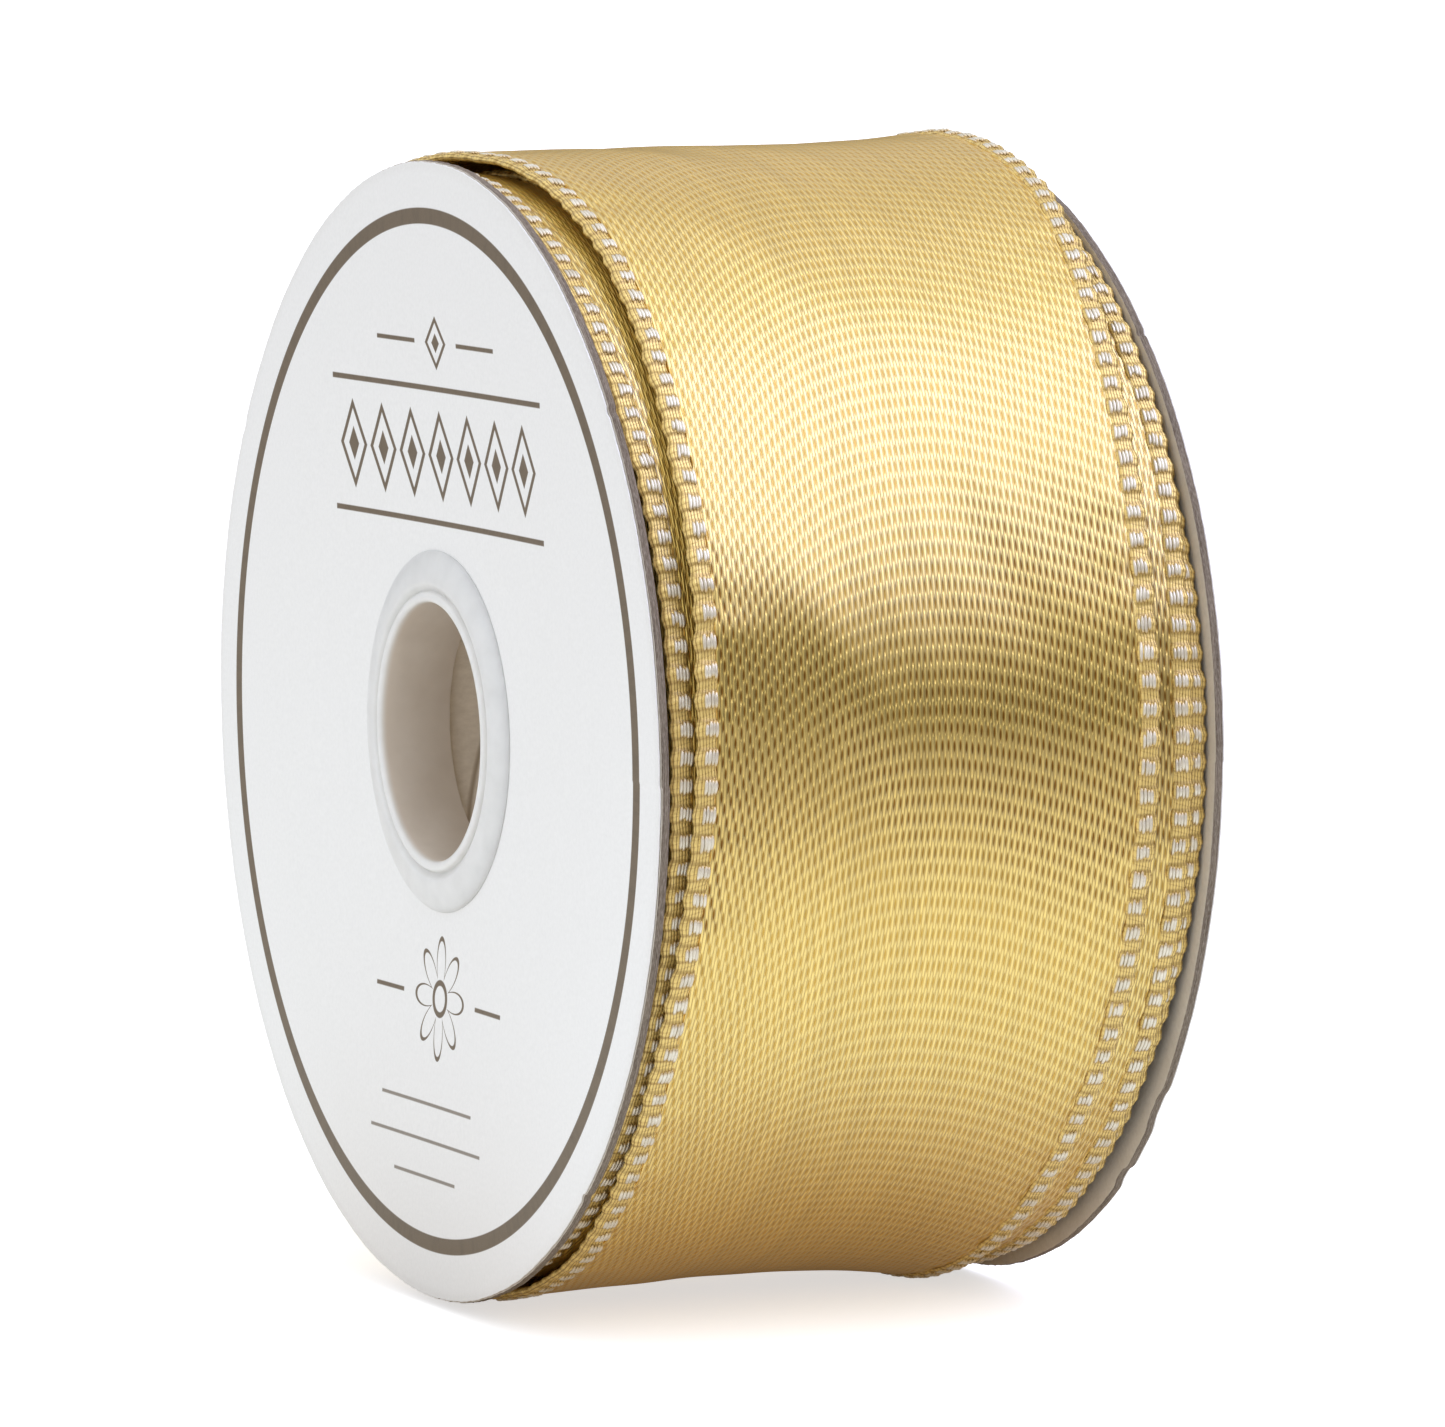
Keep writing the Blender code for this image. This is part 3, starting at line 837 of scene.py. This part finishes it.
def cream_floats(name, theta, arc, middle, radius, sign, rng):
    """Blocks of four strands, nearer the satin, with gold left bare outside them."""
    blocks = np.arange(math.ceil(arc[0] / PITCH + 0.2), math.floor(arc[-1] / PITCH - 0.2) + 1)
    block, lane = (grid.ravel() for grid in np.meshgrid(blocks, LANES, indexing="ij"))
    count = block.size
    centre = block * PITCH + rng.normal(0, 0.05, count) - 0.10 * np.abs(lane + 0.2)
    lane = lane + rng.normal(0, 0.018, count)
    half_length = 0.59 + rng.normal(0, 0.07, count)
    fat = 1.0 + rng.normal(0, 0.06, count)
    stations = np.concatenate([[-FLOAT_TIP], FLOAT_AT, [FLOAT_TIP]])
    rise = np.concatenate([[TIP_SINK], FLOAT_RISE, [TIP_SINK]])
    angle = np.degrees((centre[:, None] + half_length[:, None] * stations) / ARC_R)
    y = np.interp(angle, theta, middle) + sign * lane[:, None]
    surface = (EDGE_B + 0.03) * np.clip(1 - np.abs(lane / EDGE_HALF) ** 2.4, 0, 1) ** 0.42
    r = np.interp(angle, theta, radius) + surface[:, None] + rise
    phi = np.linspace(0, 2 * np.pi, SIDES, endpoint=False) + 0.3
    thick = (FLOAT_THICK * fat[:, None])[:, :, None]
    body, tips = np.s_[:, 1:-1, None], np.s_[:, [0, -1]]
    strands = at(angle[body], r[body] + thick * 0.72 * np.sin(phi), y[body] + thick * np.cos(phi))
    ends = at(angle[tips], r[tips], y[tips])
    verts = np.concatenate([strands.reshape(count, -1, 3), ends], 1)
    per = verts.shape[1]
    first = (np.arange(count) * per)[:, None, None]
    face_sets = [(first + faces).reshape(-1, faces.shape[1]) for faces in float_faces()]
    along = np.concatenate([np.repeat(FLOAT_AT, SIDES), [-FLOAT_TIP, FLOAT_TIP]])
    uv = np.stack([np.tile(along, count), np.repeat(lane, per)], -1)
    return build(name + "_cream_floats", verts.reshape(-1, 3), face_sets, FLOAT, uv)


def turn(name, start, end, front, rear, profile, seed, floats=("front", "rear"), lift=level,
         body="spool", bend=None, overhang=0.0, step=0.7, across=30):
    """One stretch of ribbon between edge tracks front and rear, with woven edges, wires and cream
    floats. bend is (first body, second body, start, end) in place of body; only whether it is
    given is read, and then the pieces keep their place and ride on no body."""
    cloth = satin_cloth(name, arc_angles(start, end, step), front, rear, profile, lift, across)
    register(cloth, name + "_satin")
    made = [cloth]
    rng = np.random.default_rng(seed)
    theta = arc_angles(start, end, EDGE_STEP)
    arc = np.radians(theta) * ARC_R
    for index, (side, track, sign) in enumerate((("front", front, -1), ("rear", rear, 1))):
        sway = waves(seed * 7 + index, (9.0, 4.3, 2.1), (0.035, 0.025, 0.02))
        bob = waves(seed * 7 + 3 + index, (7.0, 3.7, 1.9), (0.03, 0.02, 0.012))
        middle = track(theta) - sign * EDGE_HALF + sway(arc)
        radius = (profile(theta, np.full(theta.size, sign * 0.955)) + lift(theta)
                  - EDGE_B + 0.02 + bob(arc))
        piece = f"{name}_{side}"
        edge = woven_edge(piece, theta, arc, middle, radius, sign)
        register(edge, piece + "_edge")
        wire = edge_wire(piece, theta, middle, radius, sign, overhang)
        register(wire, piece + "_wire")
        made += [edge, wire]
        if side in floats:
            threads = cream_floats(piece, theta, arc, middle, radius, sign, rng)
            register(threads)
            made.append(threads)
    for ob in made:
        if bend:
            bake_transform(ob)
        else:
            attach(ob, body)


turn("outer_turn", START, END, outer_front, outer_rear, outer_r, seed=3, body="outer_turn",
     step=0.42, across=44)

# the free end bends over a short length at its root; these are in metres, and turn() uses only
# the fact that bend is given
ROOT_R = 42.9
end_angle = math.radians(END)
root = np.array([math.cos(end_angle), 0.0, math.sin(end_angle)]) * ROOT_R * MM
tangent = np.array([-math.sin(end_angle), 0.0, math.cos(end_angle)])
turn("free_end", END, TIP, outer_front, outer_rear, outer_r, seed=5, lift=tip_lift,
     bend=("outer_turn", "free_end", tuple(root - tangent * 0.0002),
           tuple(root + tangent * 0.009)),
     overhang=0.6, step=0.42, across=44)
turn("second_turn", 250.0, 606.5, shifted(second_rear, -RIBBON_W), second_rear, second_r,
     seed=7, floats=("rear",))
turn("third_turn", 252.0, 608.5, third_front, shifted(third_front, RIBBON_W), third_r,
     seed=9, floats=("front",))
turn("fourth_turn", 254.0, 610.5, shifted(fourth_rear, -RIBBON_W), fourth_rear, fourth_r,
     seed=11, floats=("rear",))


# ------------------------------------------------------------------ inner windings
def inner_windings():
    """Bulk of the roll: every turn's edge shows as a fine step on its two ends."""
    turns, dip, top_half = 50, 0.22, 18.6
    radii = np.linspace(12.75, 39.7, turns * 2 + 1)
    rng = np.random.default_rng(5)

    def end_steps(sign):
        offsets = np.clip(np.repeat(rng.normal(0, 0.35, turns), 2), -0.7, 0.7)
        return [(radii[k + k % 2], sign * (RIBBON_W / 2 - dip * (k % 2)) + offsets[k])
                for k in range(turns * 2)]

    front, rear = end_steps(-1), end_steps(1)
    top = [(39.85 - 0.4 * (1 - (y / top_half) ** 2), y)
           for y in np.linspace(-top_half, top_half, 9)]
    ob = turned("coiled_windings", front + top + rear[::-1], SATIN, n=180, sharp=30)
    mesh = ob.data
    layer = mesh.uv_layers.new(name="UVMap")
    x, y, z = np.array([mesh.vertices[loop.vertex_index].co for loop in mesh.loops]).T / MM
    uv = np.stack([np.arctan2(z, x) * 40, y + np.hypot(x, z)], -1)
    layer.data.foreach_set("uv", uv.astype(np.float32).ravel())
    register(ob, "inner_windings", "spool")


inner_windings()


# ------------------------------------------------------------------ tapes
def tape(name, start, end, half_width, radius, body, node, n=60):
    """A strip of film over radius(theta, y), with toothed ends."""
    columns, thick, tooth = 24, 0.07, 0.25
    y = np.linspace(-half_width, half_width, columns)
    saw = tooth * (np.abs(((np.arange(columns) / 2.0) % 1.0) - 0.5) * 2)
    theta = np.linspace(start, end, n)[:, None]
    r = radius(theta, y[None, :])
    theta = theta * np.ones(columns)
    theta[0] -= saw
    theta[-1] += saw
    points = np.concatenate([at(theta, r + thick, y), at(theta, r, y)[:, ::-1]], 1)
    register(loft(name, points, TAPE, sharp=60), node, body)


def over_tip(theta, y):
    """Just above the free end, coming down to the turn below past its tip."""
    front, rear = outer_front(theta), outer_rear(theta)
    s = (y - (front + rear) / 2) / ((rear - front) / 2)
    down = ease(np.clip((theta - (TIP + 0.15)) / 2.6, 0, 1))
    return cloth_r(theta, s, outer_r, level) + tip_lift(theta) * (1 - down) + 0.05


tape("core_tape_strip", 20, 80, 15.0, lambda theta, y: CORE_R1 + 0.04, "spool", "core_tape")
tape("free_end_tape", TIP - 8.0, TIP + 12.0, 9.0, over_tip, "free_end", "end_tape", n=90)

# ------------------------------------------------------------------ stage
# the floor as the spool sees it, painted light: a painted contact shadow at the line of contact,
# a glowing pool of light round it and painted shade further off, coloured by distance from the
# line of contact, in POOL_R
POOL_R, CONTACT_HALF = 1.2, 0.02   # metres
POOL = [(0.0, (0.07, 0.05, 0.03)), (0.017, (0.27, 0.21, 0.15)), (0.028, (0.42, 0.40, 0.38)),
        (0.036, (0.56, 0.61, 0.62)), (0.055, (0.60, 0.65, 0.66)), (0.12, (0.44, 0.44, 0.40)),
        (0.21, (0.19, 0.17, 0.13)), (0.6, (0.04, 0.033, 0.022)), (1.0, (0.02, 0.016, 0.01))]
# studio light: brightness by height of the direction
ROOM = [(0.0, 0.02), (0.09, 0.055), (0.19, 0.35), (0.34, 0.62), (0.50, 0.74), (0.8, 0.78),
        (1.0, 0.80)]
# softboxes: direction, inner and outer half angle in degrees, colour
BOXES = [((0.44, 0.56, 0.72), 3.0, 38.0, (1.74, 1.79, 2.75)),
         ((0.02, 0.32, 0.95), 4.0, 38.0, (0.60, 0.62, 0.68))]
WARM, WHITE = (1.0, 0.92, 0.74), (1.0, 1.0, 1.0)     # tints of the low and high light
FILL = (1.03, 1.06, 1.12)


def mat_floor():
    """Pale to the camera; to the spool a glowing, painted soft pool of light, with painted shade
    at the contact and further off.
    """
    k = Material("pale_floor")
    is_camera = k.get("ShaderNodeLightPath", output="Is Camera Ray")
    x, y, _ = k.sep(k.get("ShaderNodeNewGeometry", output="Position"))
    distance = k.length(x, (abs(y) - CONTACT_HALF).math("MAXIMUM", 0.0), 0.0)
    glow = k.get("ShaderNodeEmission", (k.ramp(distance / POOL_R, POOL),))
    k.set(Base_Color=(0.80, 0.80, 0.80), Roughness=0.85, Specular_IOR_Level=0.1,
          Emission_Color=WHITE, Emission_Strength=0.62)
    dim = k.get("ShaderNodeBsdfDiffuse", ((0.42, 0.40, 0.36),))
    under = k.get("ShaderNodeAddShader", (glow, dim))
    pale = Value(k, k.surface.outputs[0])
    k.put(k.out.inputs[0], k.get("ShaderNodeMixShader", (is_camera, under, pale)))
    return k.mat


def add_floor():
    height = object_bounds()[0][2] - 0.00005
    bm = bmesh.new()
    bmesh.ops.create_grid(bm, x_segments=8, y_segments=8, size=4.0)
    mesh = bpy.data.meshes.new("floor")
    bm.to_mesh(mesh)
    bm.free()
    floor = add_object("floor", mesh)
    floor.location.z = height
    mesh.materials.append(mat_floor())


def add_world():
    """The room's light for the spool, plain white for the camera."""
    world = bpy.data.worlds.new("studio")
    bpy.context.scene.world = world
    world.use_nodes = True
    k = Nodes(world.node_tree)
    out = k.add("ShaderNodeOutputWorld")
    x, y, z = k.sep(k.get("ShaderNodeTexCoord", output="Generated"))

    def softbox(direction, inner, outer, colour):
        """A round light in the given direction, with soft rims."""
        size = math.hypot(*direction)
        cosine = k.get("ShaderNodeVectorMath",
                       (k.comb(x, y, z), tuple(c / size for c in direction)), 1,
                       operation="DOT_PRODUCT")
        share = cosine.step(math.cos(math.radians(outer)), math.cos(math.radians(inner)))
        return k.get("ShaderNodeVectorMath", (share, colour), operation="MULTIPLY")

    room = k.ramp(z.lin(0.0, 1.0), ROOM)
    light = k.mix(1.0, room, k.mix(z.step(0.20, 0.55), WARM, WHITE), "MULTIPLY")
    for box in BOXES:
        light = k.mix(1.0, light, softbox(*box), "ADD")
    # the side the front label faces is evenly lit
    light = k.mix(y.step(-0.05, -0.75), light, FILL)
    lit = k.get("ShaderNodeBackground", (light,))
    plain = k.get("ShaderNodeBackground", (WHITE,))
    is_camera = k.get("ShaderNodeLightPath", output="Is Camera Ray")
    k.put(out.inputs[0], k.get("ShaderNodeMixShader", (is_camera, lit, plain)))


def add_camera():
    """Looks at the axis from the front and +X side, a little above."""
    azimuth, elevation = math.radians(65.736), math.radians(5.5615)
    distance, shift_right, shift_up = 744.09535, 1.55878, 0.491186    # mm
    back = Vector((math.sin(azimuth) * math.cos(elevation),
                   -math.cos(azimuth) * math.cos(elevation), math.sin(elevation)))
    right = Vector((math.cos(azimuth), math.sin(azimuth), 0.0))
    up = back.cross(right)
    place = (back * distance + right * shift_right + up * shift_up) * MM
    data = bpy.data.cameras.new("camera")
    data.lens = 241.11031
    data.sensor_width = 36.0
    data.clip_start, data.clip_end = 0.01, 50.0
    camera = add_object("camera", data)
    axes = Matrix((right, up, back)).transposed().to_4x4()
    camera.matrix_world = Matrix.Translation(place) @ axes
    bpy.context.scene.camera = camera


add_floor()
add_world()
add_camera()
bpy.context.scene.view_settings.view_transform = "Standard"
